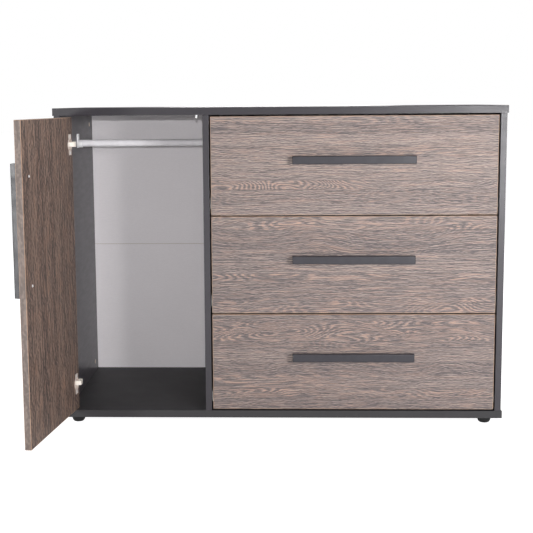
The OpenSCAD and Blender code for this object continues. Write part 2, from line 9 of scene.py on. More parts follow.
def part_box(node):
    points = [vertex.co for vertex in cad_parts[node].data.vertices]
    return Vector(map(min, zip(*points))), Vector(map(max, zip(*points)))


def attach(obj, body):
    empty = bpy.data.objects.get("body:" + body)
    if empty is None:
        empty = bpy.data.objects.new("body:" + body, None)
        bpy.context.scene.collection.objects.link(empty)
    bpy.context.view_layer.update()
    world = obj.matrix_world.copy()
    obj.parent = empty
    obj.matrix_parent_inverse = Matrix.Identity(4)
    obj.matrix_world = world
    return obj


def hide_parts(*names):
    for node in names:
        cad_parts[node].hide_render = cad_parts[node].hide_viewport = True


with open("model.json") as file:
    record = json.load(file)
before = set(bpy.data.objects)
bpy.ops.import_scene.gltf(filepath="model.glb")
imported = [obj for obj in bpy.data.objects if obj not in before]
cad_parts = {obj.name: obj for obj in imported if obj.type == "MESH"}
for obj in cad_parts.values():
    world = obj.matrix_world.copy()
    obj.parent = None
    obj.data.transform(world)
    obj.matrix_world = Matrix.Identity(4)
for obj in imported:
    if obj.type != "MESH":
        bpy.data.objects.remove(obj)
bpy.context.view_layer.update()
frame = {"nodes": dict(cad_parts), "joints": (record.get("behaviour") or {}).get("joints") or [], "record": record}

DRAWERS = (1, 2, 3)


def placed(name, data):
    """New object that holds the data, linked to the scene."""
    made = bpy.data.objects.new(name, data)
    bpy.context.scene.collection.objects.link(made)
    return made


def span(points):
    """Lowest and highest corner of the box round the points."""
    low = Vector([min(p[i] for p in points) for i in range(3)])
    high = Vector([max(p[i] for p in points) for i in range(3)])
    return low, high


# Camera, solved from the corners of the photograph. Lengths with PX are pixels
# of its square frame, IMAGE pixels wide, and the angles are in radians.
IMAGE = 533
FOCAL_PX = 1060.389
CENTRE_X_PX = 247.493
CENTRE_Y_PX = 237.514
CAMERA_AT = Vector((0.62355, -3.09934, 0.95272))
YAW = -0.0350
PITCH = 0.1270
ROLL = -0.0076
SENSOR_MM = 36.0
CLIP_NEAR = 0.05
CLIP_FAR = 50.0


def make_camera():
    """Puts the camera where the photograph was taken from."""
    forward = Vector((
        math.sin(YAW) * math.cos(PITCH),
        math.cos(YAW) * math.cos(PITCH),
        -math.sin(PITCH),
    ))
    side = Vector((math.cos(YAW), -math.sin(YAW), 0.0))
    above = side.cross(forward)
    right = math.cos(ROLL) * side + math.sin(ROLL) * above
    up = -math.sin(ROLL) * side + math.cos(ROLL) * above
    data = bpy.data.cameras.new("camera")
    data.sensor_width = SENSOR_MM
    data.lens = FOCAL_PX / IMAGE * SENSOR_MM
    data.shift_x = (IMAGE / 2 - CENTRE_X_PX) / IMAGE
    data.shift_y = (CENTRE_Y_PX - IMAGE / 2) / IMAGE
    data.clip_start = CLIP_NEAR
    data.clip_end = CLIP_FAR
    camera = placed("camera", data)
    turn = Matrix((right, up, -forward)).transposed().to_4x4()
    camera.matrix_world = Matrix.Translation(CAMERA_AT) @ turn
    bpy.context.scene.camera = camera


make_camera()


def srgb(r, g, b):
    """Linear colour with alpha for display values from 0 to 255."""
    def linear(c):
        c = c / 255.0
        return c / 12.92 if c <= 0.04045 else ((c + 0.055) / 1.055) ** 2.4
    return (linear(r), linear(g), linear(b), 1.0)


BLACK = (0.0, 0.0, 0.0, 1.0)
WHITE = (1.0, 1.0, 1.0, 1.0)


class Nodes:
    """Short calls that build a node tree. A value handed to them is a number, a
    colour or the output of another node."""

    def __init__(self, tree):
        self.tree = tree
        tree.nodes.clear()

    def put(self, socket, value):
        """Joins an output to the socket, or sets the socket's own value."""
        if isinstance(value, bpy.types.NodeSocket):
            self.tree.links.new(value, socket)
        else:
            socket.default_value = value

    def node(self, kind, inputs=None, **props):
        """New node with its properties and its inputs."""
        made = self.tree.nodes.new("ShaderNode" + kind)
        for key, value in props.items():
            setattr(made, key, value)
        for key, value in (inputs or {}).items():
            self.put(made.inputs[key], value)
        return made

    def math(self, operation, a, b=0.0, c=0.0):
        """Result of one Math node."""
        return self.node("Math", {0: a, 1: b, 2: c}, operation=operation).outputs[0]

    def plus(self, a, b):
        return self.math("ADD", a, b)

    def minus(self, a, b):
        return self.math("SUBTRACT", a, b)

    def times(self, first, *others):
        """Product of two or more values."""
        for other in others:
            first = self.math("MULTIPLY", first, other)
        return first

    def line(self, a, slope, start):
        """Straight line: slope times the value, plus the start."""
        return self.math("MULTIPLY_ADD", a, slope, start)

    def least(self, a, b):
        return self.math("MINIMUM", a, b)

    def most(self, a, b):
        return self.math("MAXIMUM", a, b)

    def place(self):
        """Place in the object's own coordinates."""
        return self.node("TexCoord").outputs["Object"]

    def mapped(self, vector, location=(0, 0, 0), turn=(0, 0, 0), scale=(1, 1, 1)):
        """The vector scaled, then turned, then moved."""
        made = self.node("Mapping", {
            "Vector": vector, "Location": location, "Rotation": turn, "Scale": scale,
        })
        return made.outputs[0]

    def split(self, vector):
        return self.node("SeparateXYZ", {0: vector}).outputs

    def join(self, x, y, z):
        return self.node("CombineXYZ", {0: x, 1: y, 2: z}).outputs[0]

    def noise(self, vector, scale, detail, roughness):
        """Smooth noise from 0 to 1."""
        made = self.node("TexNoise", {
            "Vector": vector, "Scale": scale, "Detail": detail, "Roughness": roughness,
        })
        return made.outputs["Fac"]

    def cells(self, vector):
        """A chance number from 0 to 1 for each cell about one unit across."""
        made = self.node("TexVoronoi", {"Vector": vector, "Scale": 1.0}, voronoi_dimensions="2D")
        return self.node("SeparateColor", {0: made.outputs["Color"]}).outputs[0]

    def range(self, value, low, high, to_low=0.0, to_high=1.0):
        """The value carried from low and high to the other two, and held there."""
        made = self.node("MapRange", {
            "Value": value, "From Min": low, "From Max": high,
            "To Min": to_low, "To Max": to_high,
        }, clamp=True)
        return made.outputs[0]

    def ramp(self, value, stops, interpolation="LINEAR", both=False):
        """Colour at the value, or with both the colour and the fourth number."""
        made = self.node("ValToRGB", {0: value})
        ramp = made.color_ramp
        ramp.interpolation = interpolation
        while len(ramp.elements) < len(stops):
            ramp.elements.new(1.0)
        for element, (at, colour) in zip(ramp.elements, stops):
            element.position = at
            element.color = colour
        return made.outputs if both else made.outputs[0]

    def mix(self, factor, a, b, blend="MIX"):
        """Colour b over colour a. The node has its colours at 6 and 7."""
        made = self.node("Mix", data_type="RGBA", blend_type=blend)
        self.put(made.inputs[0], factor)
        self.put(made.inputs[6], a)
        self.put(made.inputs[7], b)
        return made.outputs[2]

    def bump(self, height, distance, strength=0.5):
        """Normal of a surface that the height lifts by up to the distance."""
        return self.node("Bump", {
            "Height": height, "Distance": distance, "Strength": strength,
        }).outputs[0]


class Shader(Nodes):
    """A material, built with the calls of Nodes."""

    def __init__(self, name):
        self.material = bpy.data.materials.new(name)
        self.material.use_nodes = True
        super().__init__(self.material.node_tree)

    def finish(self, inputs):
        """Gives the material a surface with these inputs."""
        surface = self.node("BsdfPrincipled", inputs)
        self.node("OutputMaterial", {0: surface.outputs[0]})
        return self.material


# Smoked oak print. Grain runs along u and the lamellas follow each other along
# v, which is measured from the lower or left edge of the board. w is its depth.
OAK_DEEP = srgb(66, 60, 62)
OAK_DARK = srgb(88, 81, 82)
OAK_GREY = srgb(108, 98, 97)
OAK_MID = srgb(134, 120, 115)
OAK_PALE = srgb(158, 143, 136)
OAK_PINK = srgb(178, 146, 130)
# Warm line along the corners: partly the edge band's colour, partly painted highlight
OAK_RIM_HIGHLIGHT = srgb(186, 152, 126)
OAK_BAND = srgb(120, 105, 96)
OAK_STOPS = [(0.39, OAK_DARK), (0.45, OAK_GREY), (0.51, OAK_MID), (0.59, OAK_PALE)]
# Distances from a corner between which the warm line along it sets in (partly the
# edge band, partly painted highlight), and the height over which that line gains
# strength, from the low share along the edge that v starts from (painted shade
# there) to the high share
RIM_START = 0.0013
RIM_FULL = 0.00078
RIM_SHADE_FADE = 0.004
RIM_SHARE_SHADED = 0.5
RIM_SHARE_LIT = 0.8
# Distances from a narrow face between which the look of the edge band sets in
BAND_START = 0.0012
BAND_FULL = 0.0006
# Half the width of the dark line between two lamellas, and how far that line
# wanders, as a share of the board's height, with the pitch of its noise
SEAM = 0.0007
SEAM_WANDER = 0.015
SEAM_PITCH = 2.0
# How far the grain rises and falls where it is straight and where it ripples,
# with the pitch of that noise along and across it
LIFT_STRAIGHT = 0.004
LIFT_RIPPLED = 0.14
LIFT_ALONG = 4.0
LIFT_ACROSS = 5.0
# Factors that carry each lamella to its own part of the noise
TONE_JUMP = 407.0
RIPPLE_JUMP = 211.0
SEED_JUMP = 9.7
# Rings in the range of their noise, fewer of them where they stand across the
# lamella, and the chevrons per metre there
RINGS = 30.0
RINGS_FEWER = 14.0
CHEVRONS = 46.0
# A hair line is the change of a noise over a step, made stronger by the gain
HAIR_STEP = 0.6
HAIR_GAIN = 1.65
# Where the sum of the noises starts, the lamella's tone that leaves it as it is,
# and how much other tones shift it
TONE_START = 0.036
TONE_MIDDLE = 0.485
TONE_GAIN = 0.42
# Share of the board's length over which a figure that ends fades out, each way
FIGURE_FADE = 0.08
# Strength of each layer over the print
LINE_SHARE = 0.4
FIGURE_SHARE = 0.85
FLECK_SHARE = 0.4
PORE_SHARE = 0.45
SEAM_SHARE = 0.5
BAND_SHARE = 0.6
OAK_BUMP = 0.00012


def oak(name, local, size, lamellas, seed, pink=1.0, shade_tint=WHITE, pitch=1.0, rate=1.0):
    """Oak print on a board. local gives u, v and w in metres from a corner of
    the board, whose size is (along u, along v, along w). lamellas holds (place
    across the grain from 0 to 1, tone, strength of the figure, ripple, share of
    the length that the figure reaches over). The seed tells boards apart, pink
    sets the strength of the pink strands, and the tint multiplies the wide faces
    as painted shade. pitch sets how close the dashes lie across the grain, and
    rate how short they are along it."""
    s = Shader(name)
    u, v, w = local(s)
    along, high, thick = size

    # Each lamella is a flat step: its numbers move the noise, so the grain jumps
    wander = s.noise(s.join(s.times(u, SEAM_PITCH), 0.0, seed), 1.0, 1.0, 0.5)
    share = s.plus(s.math("DIVIDE", v, high), s.times(s.minus(wander, 0.5), SEAM_WANDER))
    steps = [(at, numbers) for at, *numbers in lamellas]
    step = s.ramp(share, steps, "CONSTANT", both=True)
    tone, figure, ripple = s.node("SeparateColor", {0: step[0]}).outputs[:3]
    reach = step[1]
    seam_stops = [(0.0, BLACK)]
    for at, *_ in lamellas[1:]:
        seam_stops += [(at - SEAM / high, WHITE), (at + SEAM / high, BLACK)]
    seam = s.ramp(share, seam_stops, "CONSTANT")
    shift = s.plus(s.times(tone, TONE_JUMP), s.times(ripple, RIPPLE_JUMP))

    # The grain rises and falls along the board, more where it ripples
    bend_place = s.join(s.plus(s.times(u, LIFT_ALONG), shift), s.times(v, LIFT_ACROSS), seed)
    bend = s.noise(bend_place, 1.0, 1.0, 0.5)
    rise = s.range(ripple, 0.0, 1.0, LIFT_STRAIGHT, LIFT_RIPPLED)
    flow = s.plus(s.plus(v, w), s.times(s.minus(bend, 0.5), rise))

    def grain(per_u, per_v, detail, roughness, depth, step_v=0.0):
        """Noise with its own pitch along and across the grain, per metre. The
        depth at which it is cut from the noise keeps it unlike the others."""
        along_u = s.plus(s.times(u, per_u), shift)
        place = s.join(along_u, s.line(flow, per_v, step_v), seed + depth)
        return s.noise(place, 1.0, detail, roughness)

    def hairs(per_u, per_v, depth):
        """Even fine lines: how much the noise changes over a small step across."""
        here = grain(per_u, per_v, 0.0, 0.5, depth)
        beside = grain(per_u, per_v, 0.0, 0.5, depth, HAIR_STEP)
        return s.line(s.minus(here, beside), HAIR_GAIN, 0.5)

    def dashes(per_u, per_v):
        """Crisp dashes, each of one tone, with so many per metre each way."""
        start = s.plus(shift, seed * SEED_JUMP)
        return s.cells(s.join(s.line(u, per_u, start), s.times(flow, per_v), 0.0))

    def laid(colour, over, *masks):
        """The colour with another laid over it, as strong as the masks' product."""
        return s.mix(s.times(*masks), colour, over)

    # Rings: level lines of a stretched noise give straight grain and cathedrals,
    # and where the lamella ripples most they stand across it as chevrons
    field = grain(s.range(ripple, 0.0, 0.7, 1.0, 6.0), 18.0, 1.0, 0.4, 0.0)
    across = s.range(ripple, 0.7, 0.8)
    phase = s.times(field, s.line(across, -RINGS_FEWER, RINGS))
    phase = s.plus(phase, s.times(u, across, CHEVRONS))
    rings = s.times(s.math("PINGPONG", phase, 0.5), 2.0)

    # Dashes, streaks and clouds run along the grain. The numbers are the pitch
    # along and across it, the detail, the roughness and the depth.
    dash = grain(70.0, 520.0 * pitch, 1.0, 0.7, 11.0)
    dash_long = grain(16.0, 480.0 * pitch, 0.0, 0.5, 13.0)
    fine = grain(90.0, 800.0, 2.0, 0.6, 17.0)
    streak = grain(3.5, 400.0 * pitch, 1.0, 0.7, 23.0)
    pores = grain(110.0, 1100.0, 2.0, 0.6, 31.0)
    cloud = grain(2.0, 26.0, 2.0, 0.6, 43.0)
    hair = hairs(19.0 * rate, 420.0 * pitch, 71.0)
    hair_short = hairs(80.0 * rate, 440.0 * pitch, 73.0)

    # Their weighted sum and the lamella's tone choose the colour
    weights = (
        (dashes(85.0, 370.0), 0.05), (dashes(17.0, 330.0), 0.07), (hair, 0.29),
        (hair_short, 0.25), (dash, 0.04), (dash_long, 0.03), (fine, 0.03), (streak, 0.06),
        (cloud, 0.08),
    )
    value = TONE_START
    for part, weight in weights:
        value = s.line(part, weight, value)
    value = s.plus(value, s.times(s.minus(tone, TONE_MIDDLE), TONE_GAIN))
    colour = s.ramp(value, OAK_STOPS)

    # Thin dark grain lines where a slow noise crosses its middle
    line_field = grain(6.0, 120.0 * pitch, 0.0, 0.4, 61.0)
    off_line = s.math("ABSOLUTE", s.minus(line_field, 0.5))
    thin = s.range(off_line, 0.05, 0.02)
    colour = laid(colour, OAK_DEEP, thin, s.range(dash, 0.6, 0.45), LINE_SHARE)

    # Pink strands: thin and broken, in patches, where the lamella has a figure
    patch = s.range(grain(2.5, 6.0, 1.0, 0.5, 53.0), 0.38, 0.54, 0.45, 1.0)
    patch = s.most(patch, across)
    to_go = s.minus(reach, s.math("DIVIDE", u, along))
    shown = s.times(figure, s.times(patch, s.range(to_go, -FIGURE_FADE, FIGURE_FADE)))
    colour = laid(colour, OAK_DARK, shown, FIGURE_SHARE, s.range(rings, 0.42, 0.15))
    strand = s.times(s.range(rings, 0.58, 0.78), s.range(dash_long, 0.38, 0.52))
    colour = laid(colour, OAK_PINK, strand, shown, FIGURE_SHARE * pink)
    fleck = s.times(s.range(dash_long, 0.54, 0.64), s.range(streak, 0.46, 0.56))
    colour = laid(colour, OAK_PINK, fleck, FLECK_SHARE * pink)
    hollow = s.range(pores, 0.44, 0.30)
    colour = laid(colour, OAK_DARK, hollow, PORE_SHARE)
    colour = laid(colour, OAK_DARK, seam, SEAM_SHARE)

    # The narrow faces have the edge band's own darker and quieter print, and the
    # tint multiplies only the wide faces, as painted shade. A thin warm line runs
    # along each corner of the board: partly the band's own edge, partly painted
    # highlight, and weaker along the edge that v starts from, as painted shade.
    to_end = s.least(u, s.minus(along, u))
    to_side = s.least(v, s.minus(high, v))
    to_face = s.least(w, s.minus(thick, w))
    narrow = s.range(s.least(to_end, to_side), BAND_START, BAND_FULL)
    colour = s.mix(1.0, colour, s.mix(narrow, shade_tint, WHITE), "MULTIPLY")
    colour = laid(colour, OAK_BAND, narrow, BAND_SHARE)
    # On a corner the second least of the three distances is small too
    second = s.most(s.least(to_end, to_side), s.least(s.most(to_end, to_side), to_face))
    rim_highlight = s.range(second, RIM_START, RIM_FULL)
    # Weaker share near the edge that v starts from: painted shade
    rim_share_shaded_below = s.range(v, 0.0, RIM_SHADE_FADE, RIM_SHARE_SHADED, RIM_SHARE_LIT)
    colour = laid(colour, OAK_RIM_HIGHLIGHT, rim_highlight, rim_share_shaded_below)
    height = s.minus(s.times(fine, 0.6), hollow)
    return s.finish({
        "Base Color": colour, "Roughness": s.range(pores, 0.3, 0.7, 0.6, 0.5),
        "Specular IOR Level": 0.5, "Normal": s.bump(height, OAK_BUMP),
    })


def mottle(low, high):
    """Ramp stops from one colour to the other over the middle of a noise."""
    return [(0.35, low), (0.65, high)]


def graphite(name, dull=0.0, low=srgb(56, 53, 58), high=srgb(61, 58, 63)):
    """Dark coated board: faint mottled pearl, fine structure pressed in."""
    s = Shader(name)
    place = s.place()
    pearl = s.noise(place, 900.0, 2.0, 0.6)
    cloud = s.noise(place, 6.0, 3.0, 0.5)
    value = s.plus(s.times(pearl, 0.6), s.times(cloud, 0.4))
    scuff = s.noise(s.mapped(place, scale=(1.0, 1.0, 6.0)), 14.0, 4.0, 0.6)
    return s.finish({
        "Base Color": s.ramp(value, mottle(low, high)),
        "Roughness": s.range(scuff, 0.35, 0.7, 0.38 + dull, 0.33 + dull),
        "Specular IOR Level": 0.5, "Normal": s.bump(pearl, 0.00006, 0.6),
    })


def fibre(name, low, high, rough=0.65, grain=700.0):
    """Coated fibreboard or plain board with a soft fibre mottle."""
    s = Shader(name)
    place = s.place()
    fine = s.noise(place, grain, 2.0, 0.6)
    long_fibre = s.noise(s.mapped(place, scale=(0.25, 1.0, 1.0)), grain * 0.5, 3.0, 0.6)
    cloud = s.noise(place, 5.0, 2.0, 0.5)
    value = s.plus(s.times(fine, 0.35), s.times(long_fibre, 0.35))
    value = s.plus(value, s.times(cloud, 0.3))
    return s.finish({
        "Base Color": s.ramp(value, mottle(low, high)),
        "Roughness": s.range(fine, 0.3, 0.7, rough + 0.06, rough - 0.06),
        "Specular IOR Level": 0.35, "Normal": s.bump(long_fibre, 0.00008),
    })


def metal(name, low, high, rough, metallic=0.0, brushed=(1.0, 1.0, 1.0), scale=600.0,
          bump=0.00002):
    """Plated or lacquered metal with fine brushing and a few dull patches."""
    s = Shader(name)
    place = s.place()
    lines = s.noise(s.mapped(place, scale=brushed), scale, 3.0, 0.6)
    patch = s.noise(place, 40.0, 3.0, 0.55)
    return s.finish({
        "Base Color": s.mix(s.range(patch, 0.35, 0.7), low, high), "Metallic": metallic,
        "Roughness": s.range(patch, 0.3, 0.7, rough + 0.06, rough - 0.05),
        "Normal": s.bump(lines, bump),
    })


def plastic(name, low, high, rough):
    """Moulded plastic with a fine spark-eroded skin."""
    s = Shader(name)
    place = s.place()
    skin = s.noise(place, 1500.0, 2.0, 0.6)
    cloud = s.noise(place, 30.0, 2.0, 0.5)
    return s.finish({
        "Base Color": s.mix(s.range(cloud, 0.35, 0.65), low, high),
        "Roughness": s.range(skin, 0.3, 0.7, rough + 0.05, rough - 0.05),
        "Specular IOR Level": 0.5, "Normal": s.bump(skin, 0.00003),
    })


def wood_dowel(name, low, high):
    """Plain turned wood with its grain along Z."""
    s = Shader(name)
    rings = s.noise(s.mapped(s.place(), scale=(1.0, 1.0, 0.08)), 900.0, 2.0, 0.5)
    return s.finish({
        "Base Color": s.ramp(rings, mottle(low, high)), "Roughness": 0.7,
        "Normal": s.bump(rings, 0.00005),
    })


# The finish of each material slot. The oak of the fronts and the door is made
# board by board further down.
FINISH = {
    "graphite_board": graphite("graphite_board_look"),
    "grey_hardboard": fibre("grey_hardboard_look", srgb(230, 225, 228), srgb(238, 233, 236)),
    "drawer_board": fibre("drawer_board_look", srgb(150, 148, 152), srgb(162, 160, 164)),
    "joining_tape": fibre("joining_tape_look", srgb(170, 158, 142), srgb(188, 176, 158),
                          0.7, 400.0),
    "zinc_steel": metal("zinc_steel_look", srgb(214, 215, 217), srgb(230, 231, 232), 0.3, 0.3),
    "nickel_steel": metal("nickel_steel_look", srgb(232, 226, 220), srgb(244, 240, 236),
                          0.34, 0.2),
    "rail_chrome": metal("rail_chrome_look", srgb(220, 217, 221), srgb(230, 227, 231), 0.35,
                         brushed=(0.05, 1.0, 1.0), bump=0.000004),
    "anthracite_metal": metal("anthracite_metal_look", srgb(47, 45, 51), srgb(53, 51, 57), 0.4,
                              scale=1200.0, bump=0.00004),
    "runner_steel": metal("runner_steel_look", srgb(206, 206, 204), srgb(220, 220, 218), 0.4),
    "roller_plastic": plastic("roller_plastic_look", srgb(226, 226, 222), srgb(236, 236, 232),
                              0.4),
    "white_plastic": plastic("white_plastic_look", srgb(246, 246, 247), srgb(251, 251, 252),
                             0.35),
    "black_plastic": plastic("black_plastic_look", srgb(24, 24, 25), srgb(32, 32, 33), 0.45),
    "beech": wood_dowel("beech_look", srgb(186, 148, 106), srgb(216, 184, 142)),
}

# Nodes whose finish differs from the rest of their slot
OWN_LOOK = {
    "cam_locks": metal("cam_lock_look", srgb(196, 180, 152), srgb(226, 210, 180), 0.42, 0.1),
    "rail_sockets": metal("rail_socket_look", srgb(238, 237, 238), srgb(247, 246, 247), 0.35),
    "hinge_arms": metal("hinge_arm_look", srgb(250, 240, 228), srgb(253, 247, 240), 0.3, 0.1),
    "hinge_cups": metal("hinge_cup_look", srgb(214, 201, 193), srgb(226, 214, 206), 0.36, 0.2),
}

# Points closer than MERGE are one, points within NEAR of a plane lie on it, and
# faces that turn by less than FLAT are one face
MERGE = 1e-6
NEAR = 1e-5
FLAT = math.radians(0.5)
# Rounding of the boards' outer edges, so that they catch a thin line of light,
# and of a fitting's edges that turn by more than SHARP
EASE = 0.0007
SOFTEN = 0.0006
SHARP = math.radians(60)
UNTURNED = Matrix.Identity(4)


def cleaned(mesh, turn=UNTURNED):
    """The mesh after the turn, with each flat face in one piece."""
    bm = bmesh.new()
    bm.from_mesh(mesh)
    bm.transform(turn)
    bmesh.ops.remove_doubles(bm, verts=bm.verts, dist=MERGE)
    bmesh.ops.dissolve_limit(bm, angle_limit=FLAT, verts=bm.verts, edges=bm.edges)
    return bm


def round_edges(bm, edges, offset, clamp):
    """Rounds the edges. clamp stops a rounding before it meets the next one."""
    bmesh.ops.bevel(bm, geom=edges, offset=offset, offset_type="OFFSET", segments=3,
                    profile=0.5, affect="EDGES", clamp_overlap=clamp)


def eased_copy(node, turn=UNTURNED):
    """Copies a CAD board and rounds the edges of its outer box. turn brings a
    board that stands at an angle square to the axes for the work."""
    mesh = frame["nodes"][node].data.copy()
    mesh.name = node + "_eased"
    bm = cleaned(mesh, turn)
    ends = span([v.co for v in bm.verts])

    def planes(vert):
        """Sides of the box that the point lies on."""
        return {(i, k) for i in range(3) for k, end in enumerate(ends)
                if abs(vert.co[i] - end[i]) < NEAR}

    corners = [e for e in bm.edges if len(planes(e.verts[0]) & planes(e.verts[1])) >= 2]
    round_edges(bm, corners, EASE, False)
    bm.transform(turn.inverted())
    bm.normal_update()
    bm.to_mesh(mesh)
    bm.free()
    for polygon in mesh.polygons:
        polygon.use_smooth = False
    return placed(node + "_eased", mesh)


BODY_OF = {n: b for b, ns in frame["record"]["behaviour"]["bodies"].items() for n in ns}
SLOT_OF = {part["node"]: part["material_slot"] for part in frame["record"]["subparts"]}


def dress(piece, node, material):
    """Puts the piece in the node's place, on its body, with its finish."""
    piece.data.materials.clear()
    piece.data.materials.append(material)
    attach(piece, BODY_OF[node])
    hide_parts(node)


# Every CAD node gets the finish of its slot first
for node, shape in frame["nodes"].items():
    finish = OWN_LOOK.get(node) or FINISH.get(SLOT_OF[node])
    if finish:
        for holder in shape.material_slots:
            holder.material = finish

# The top and the bottom are given a little darker graphite than the uprights, though all are one board: painted
# shade
PAINTED_SHADE_PANELS = {
    "top_panel": graphite("top_panel_painted_shade_look", 0.0, srgb(50, 47, 52), srgb(55, 52, 57)),
    "bottom_panel": graphite("bottom_panel_painted_shade_look", 0.25, srgb(50, 49, 51),
                             srgb(55, 54, 56)),
}
CARCASS = ("top_panel", "bottom_panel", "left_side_panel", "divider_panel", "right_side_panel")
for node in CARCASS:
    dress(eased_copy(node), node, PAINTED_SHADE_PANELS.get(node, FINISH["graphite_board"]))

# Lamellas of the three fronts: place from the lower edge, tone, figure, ripple, reach
FRONT_LAMELLAS = {
    1: [(0.0, 0.50, 0.1, 0.1, 1.0), (0.12, 0.42, 0.3, 0.3, 1.0), (0.26, 0.49, 0.9, 0.8, 0.52),
        (0.35, 0.53, 0.2, 0.1, 1.0), (0.47, 0.58, 0.3, 0.1, 1.0), (0.58, 0.50, 0.5, 0.15, 1.0),
        (0.70, 0.57, 0.2, 0.05, 1.0), (0.82, 0.38, 0.3, 0.1, 1.0), (0.93, 0.50, 0.5, 0.2, 1.0)],
    2: [(0.0, 0.38, 0.9, 0.3, 1.0), (0.153, 0.36, 0.2, 0.1, 1.0), (0.337, 0.42, 1.0, 0.2, 1.0),
        (0.408, 0.44, 0.1, 0.0, 1.0), (0.62, 0.36, 0.2, 0.5, 1.0), (0.857, 0.47, 1.0, 0.3, 1.0)],
    3: [(0.0, 0.36, 0.2, 0.1, 1.0), (0.12, 0.40, 1.0, 0.3, 1.0), (0.22, 0.43, 0.7, 0.1, 0.6),
        (0.36, 0.31, 0.35, 0.45, 0.8), (0.49, 0.45, 0.2, 0.1, 1.0), (0.64, 0.35, 0.3, 0.2, 1.0),
        (0.72, 0.38, 0.8, 0.3, 1.0), (0.93, 0.34, 0.3, 0.1, 1.0)],
}
FRONT_SEED = 3.7


def from_corner(low):
    """Gives the place on an upright front: its length, height and depth."""
    def local(s):
        x, y, z = s.split(s.mapped(s.place(), location=-low))
        return x, z, y
    return local


for n in DRAWERS:
    node = f"drawer_{n}_front"
    low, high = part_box(node)
    extent = high - low
    look = oak(f"oak_front_{n}_look", from_corner(low), (extent.x, extent.z, extent.y),
               FRONT_LAMELLAS[n], FRONT_SEED * n)
    dress(eased_copy(node), node, look)

# The door stands open. Its print is measured on the shut door, from the left.
hinge = next(j for j in frame["joints"] if j["name"] == "door_hinge")
PIN = Vector(hinge["pos_m"])
OPEN = math.radians(97.0)
SHUT = Matrix.Translation(PIN) @ Matrix.Rotation(OPEN, 4, "Z") @ Matrix.Translation(-PIN)
DOOR_LAMELLAS = [
    (0.0, 0.42, 0.3, 0.1, 1.0), (0.09, 0.52, 0.6, 0.1, 1.0), (0.2, 0.45, 0.2, 0.05, 1.0),
    (0.3, 0.60, 0.6, 0.15, 1.0), (0.42, 0.36, 0.3, 0.1, 1.0), (0.5, 0.54, 0.5, 0.1, 1.0),
    (0.62, 0.38, 0.3, 0.05, 1.0), (0.74, 0.57, 0.4, 0.1, 1.0), (0.88, 0.42, 0.3, 0.1, 1.0),
]
DOOR_SEED = 21.0
# Tint that makes the door's wide faces darker and browner than the fronts: painted shade on the open door
DOOR_PAINTED_SHADE = (0.7, 0.61, 0.535, 1.0)
door = eased_copy("door_panel", SHUT)
door_low, door_high = span([SHUT @ v.co for v in door.data.vertices])
door_extent = door_high - door_low


def door_place(s):
    """Height, width and depth in the door, whatever the angle it is drawn at."""
    shift = PIN - Matrix.Rotation(OPEN, 3, "Z") @ PIN - door_low
    x, y, z = s.split(s.mapped(s.place(), location=shift, turn=(0, 0, OPEN)))
    return z, x, y


door_look = oak("oak_door_look", door_place, (door_extent.z, door_extent.x, door_extent.y),
                DOOR_LAMELLAS, DOOR_SEED, pink=0.75, shade_tint=DOOR_PAINTED_SHADE, pitch=0.24, rate=1.5)
dress(door, "door_panel", door_look)


# Points of two solids can lie closer together than MERGE
MERGE_SOLIDS = 1e-7


def linked_solids(node, turn):
    """Corner points of each separate solid of a node, after the turn."""
    bm = bmesh.new()
    bm.from_mesh(frame["nodes"][node].data)
    bmesh.ops.remove_doubles(bm, verts=bm.verts, dist=MERGE_SOLIDS)
    bm.transform(turn)
    left = set(bm.verts)
    solids = []
    while left:
        waiting = [left.pop()]
        points = []
        while waiting:
            vert = waiting.pop()
            points.append(vert.co.copy())
            for edge in vert.link_edges:
                other = edge.other_vert(vert)
                if other in left:
                    left.remove(other)
                    waiting.append(other)
        solids.append(points)
    bm.free()
    return solids


def finished(bm, name):
    """New mesh made of the work, which is freed."""
    mesh = bpy.data.meshes.new(name)
    bm.to_mesh(mesh)
    bm.free()
    return mesh


def add_moved(bm, mesh, move):
    """Adds a moved copy of the mesh to the work."""
    start = len(bm.verts)
    bm.from_mesh(mesh)
    bm.verts.ensure_lookup_table()
    bmesh.ops.transform(bm, matrix=move, verts=bm.verts[start:])


def drilled(solid, cutter):
    """The solid less the cutter, both meshes."""
    body = placed("drill_body", solid)
    tool = placed("drill_tool", cutter)
    cut = body.modifiers.new("cut", "BOOLEAN")
    cut.object = tool
    cut.solver = "EXACT"
    cut.use_self = True
    graph = bpy.context.evaluated_depsgraph_get()
    made = bpy.data.meshes.new_from_object(body.evaluated_get(graph))
    bpy.data.objects.remove(body)
    bpy.data.objects.remove(tool)
    return made


def lathe(profile, steps):
    """Closed mesh that turns (radius, height) points round Z; the first and
    the last point lie on the axis."""
    bm = bmesh.new()
    turns = [2 * math.pi * k / steps for k in range(steps)]
    rings = []
    for radius, height in profile:
        ring = [(radius * math.cos(a), radius * math.sin(a), height) for a in turns]
        rings.append([bm.verts.new(point) for point in (ring if radius else [(0, 0, height)])])
    for low, high in zip(rings, rings[1:]):
        for k in range(steps):
            n = (k + 1) % steps
            corners = [low[k % len(low)], low[n % len(low)],
                       high[n % len(high)], high[k % len(high)]]
            bm.faces.new(list(dict.fromkeys(corners)))
    bmesh.ops.recalc_face_normals(bm, faces=bm.faces)
    return finished(bm, "lathe")


# Cross recess: length and half width of an arm as shares of the head's radius,
# the share of them that is left at its foot, and how far the cutter stands out.
# One wedge is a little wider, so that no two faces of the cutter fall together.
ARM = 0.56
ARM_HALF = 0.12
ARM_FOOT = 0.45
ARM_OUT = 1.3
ARM_WIDER = 1.02
# Share of the head's height that the recess is deep
RECESS = 0.75


